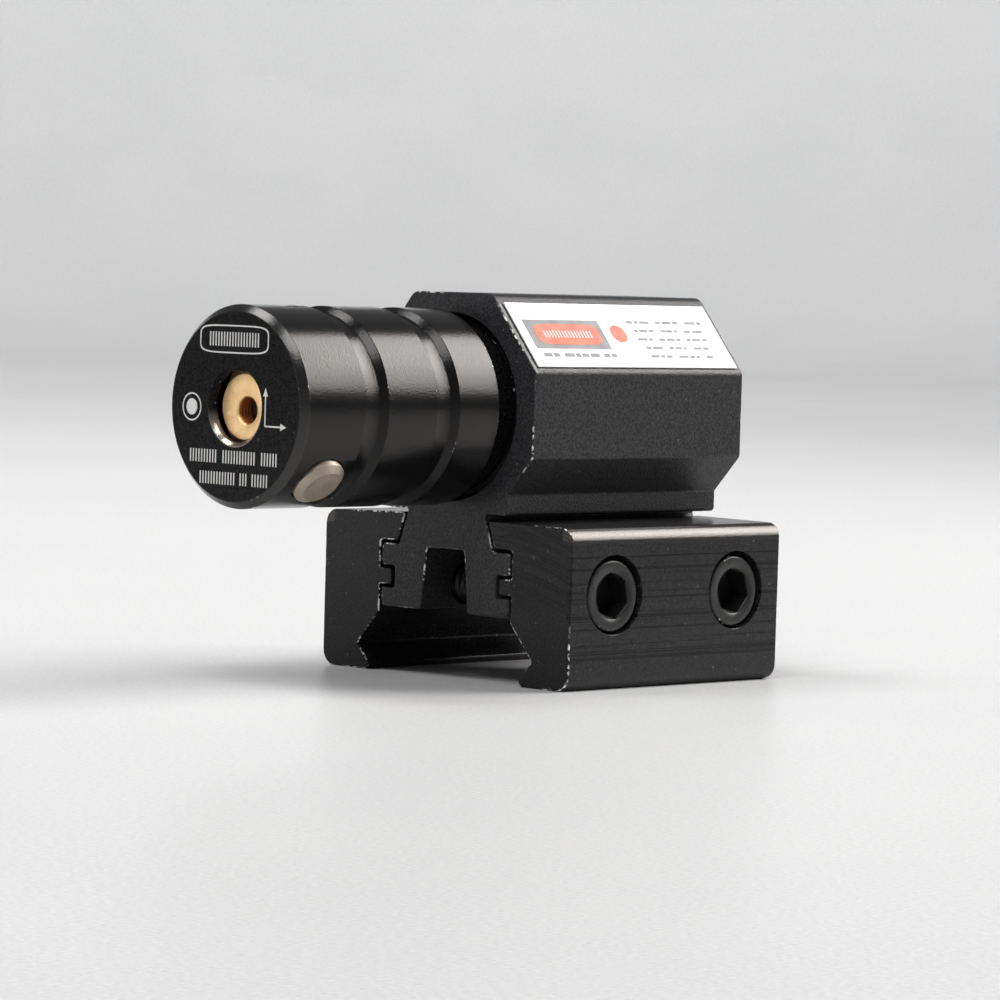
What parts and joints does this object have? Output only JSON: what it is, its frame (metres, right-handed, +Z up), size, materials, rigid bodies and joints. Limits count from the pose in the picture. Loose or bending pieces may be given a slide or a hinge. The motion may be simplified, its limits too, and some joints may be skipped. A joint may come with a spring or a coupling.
{
  "type": "laser collimator",
  "caption": "Rail-mounted red laser module with a grooved round barrel, octagonal battery housing, adjusting screws and two screw-clamped dovetail jaws.",
  "frame": {"origin": "under the middle of the bounding box, level with the undersides of the jaws, on which the part stands", "axes": "+Z up; the beam leaves along -Y; +X is the side with the clamp screws' heads; +Y is toward the tail cap"},
  "size_m": [0.0324, 0.0584, 0.0355],
  "materials": {
    "black_extrusion": "matte bead-blasted black anodised",
    "black_turned": "satin black anodised, turned",
    "black_milled": "matte black anodised, milled",
    "brass": "pale satin brass",
    "bare_steel": "satin bare metal",
    "blackened_steel": "black oxide",
    "spring_steel": "drawn wire",
    "nylon": "natural nylon",
    "black_rubber": "matte black",
    "circuit_board": "green circuit board",
    "lens_glass": "clear, polished",
    "cell_case": "satin nickel-plated",
    "sleeve_plastic": "pale plastic",
    "switch_plastic": "matte black",
    "label_film": "glossy white printed film"
  },
  "bodies": {
    "frame": {"housing": "black_extrusion", "front_barrel": "black_turned", "left_jaw": "black_milled", "label": "label_film", "battery_sleeve": "sleeve_plastic", "button_cell_1": "cell_case", "button_cell_2": "cell_case", "button_cell_3": "cell_case", "front_contact_spring": "spring_steel", "plunger_plug": "bare_steel", "plunger_spring": "spring_steel"},
    "right_jaw": {"right_jaw": "black_milled"},
    "front_clamp_screw": {"front_clamp_screw": "blackened_steel"},
    "rear_clamp_screw": {"rear_clamp_screw": "blackened_steel"},
    "elevation_pad": {"elevation_pad": "nylon"},
    "elevation_screw": {"elevation_screw": "blackened_steel"},
    "windage_pad": {"windage_pad": "nylon"},
    "windage_screw": {"windage_screw": "blackened_steel"},
    "plunger_pin": {"plunger_pin": "bare_steel"},
    "pivot_ring": {"pivot_ring": "nylon"},
    "laser_module": {"module_body": "brass", "lens_holder": "brass", "collimating_lens": "lens_glass", "lens_spring": "spring_steel", "laser_diode": "bare_steel", "driver_board": "circuit_board"},
    "tail_seal": {"tail_cap_o_ring": "black_rubber"},
    "tail_cap": {"tail_cap": "black_turned", "switch_body": "switch_plastic", "battery_spring": "spring_steel", "button_spring": "spring_steel"},
    "push_button": {"push_button": "black_rubber"}
  },
  "joints": [
    {"name": "right_jaw_slide", "type": "slide", "parent": "frame", "child": "right_jaw", "axis": [1, 0, 0], "range_m": [0, 0.0025]},
    {"name": "front_clamp_turn", "type": "hinge", "parent": "right_jaw", "child": "front_clamp_screw", "pos_m": [0.016, 0.00291, 0.0085], "axis": [1, 0, 0], "range_deg": [0, 1286.21]},
    {"name": "rear_clamp_turn", "type": "hinge", "parent": "right_jaw", "child": "rear_clamp_screw", "pos_m": [0.016, 0.01921, 0.0085], "axis": [1, 0, 0], "range_deg": [0, 1286.21]},
    {"name": "module_yaw", "type": "hinge", "parent": "frame", "child": "pivot_ring", "pos_m": [0, -0.01094, 0.025], "axis": [0, 0, 1], "range_deg": [-1.38, 1.38]},
    {"name": "module_pitch", "type": "hinge", "parent": "pivot_ring", "child": "laser_module", "pos_m": [0, -0.01094, 0.025], "axis": [1, 0, 0], "range_deg": [-1.38, 1.38]},
    {"name": "elevation_feed", "type": "slide", "parent": "frame", "child": "elevation_pad", "axis": [0, 0, 1], "range_m": [-0.000302, 0.000302]},
    {"name": "elevation_turn", "type": "hinge", "parent": "elevation_pad", "child": "elevation_screw", "pos_m": [0, -0.02344, 0.0322], "axis": [0, 0, 1], "range_deg": [-241, 241]},
    {"name": "windage_feed", "type": "slide", "parent": "frame", "child": "windage_pad", "axis": [-1, 0, 0], "range_m": [-0.000302, 0.000302]},
    {"name": "windage_turn", "type": "hinge", "parent": "windage_pad", "child": "windage_screw", "pos_m": [-0.0072, -0.02344, 0.025], "axis": [-1, 0, 0], "range_deg": [-241, 241]},
    {"name": "plunger_slide", "type": "slide", "parent": "frame", "child": "plunger_pin", "axis": [0.7071, 0, -0.7071], "range_m": [0, 0.0004], "stiffness_N_per_m": 200, "deforming": ["plunger_spring"]},
    {"name": "tail_cap_feed", "type": "slide", "parent": "frame", "child": "tail_seal", "axis": [0, 1, 0], "range_m": [0, 0.003]},
    {"name": "tail_cap_turn", "type": "hinge", "parent": "tail_seal", "child": "tail_cap", "pos_m": [0, 0.02716, 0.025], "axis": [0, 1, 0], "range_deg": [0, 1080.5]},
    {"name": "button_press", "type": "slide", "parent": "tail_cap", "child": "push_button", "axis": [0, -1, 0], "range_m": [0, 0.0008], "stiffness_N_per_m": 600, "deforming": ["button_spring"]}
  ],
  "couplings": [
    {"joint": "front_clamp_turn", "follows": "right_jaw_slide", "rad_per_m": 8976},
    {"joint": "rear_clamp_turn", "follows": "right_jaw_slide", "rad_per_m": 8976},
    {"joint": "elevation_feed", "follows": "module_pitch", "m_per_rad": -0.0125},
    {"joint": "elevation_turn", "follows": "module_pitch", "ratio": -174.53},
    {"joint": "windage_feed", "follows": "module_yaw", "m_per_rad": -0.0125},
    {"joint": "windage_turn", "follows": "module_yaw", "ratio": -174.53},
    {"joint": "tail_cap_turn", "follows": "tail_cap_feed", "rad_per_m": 6283.2}
  ]
}
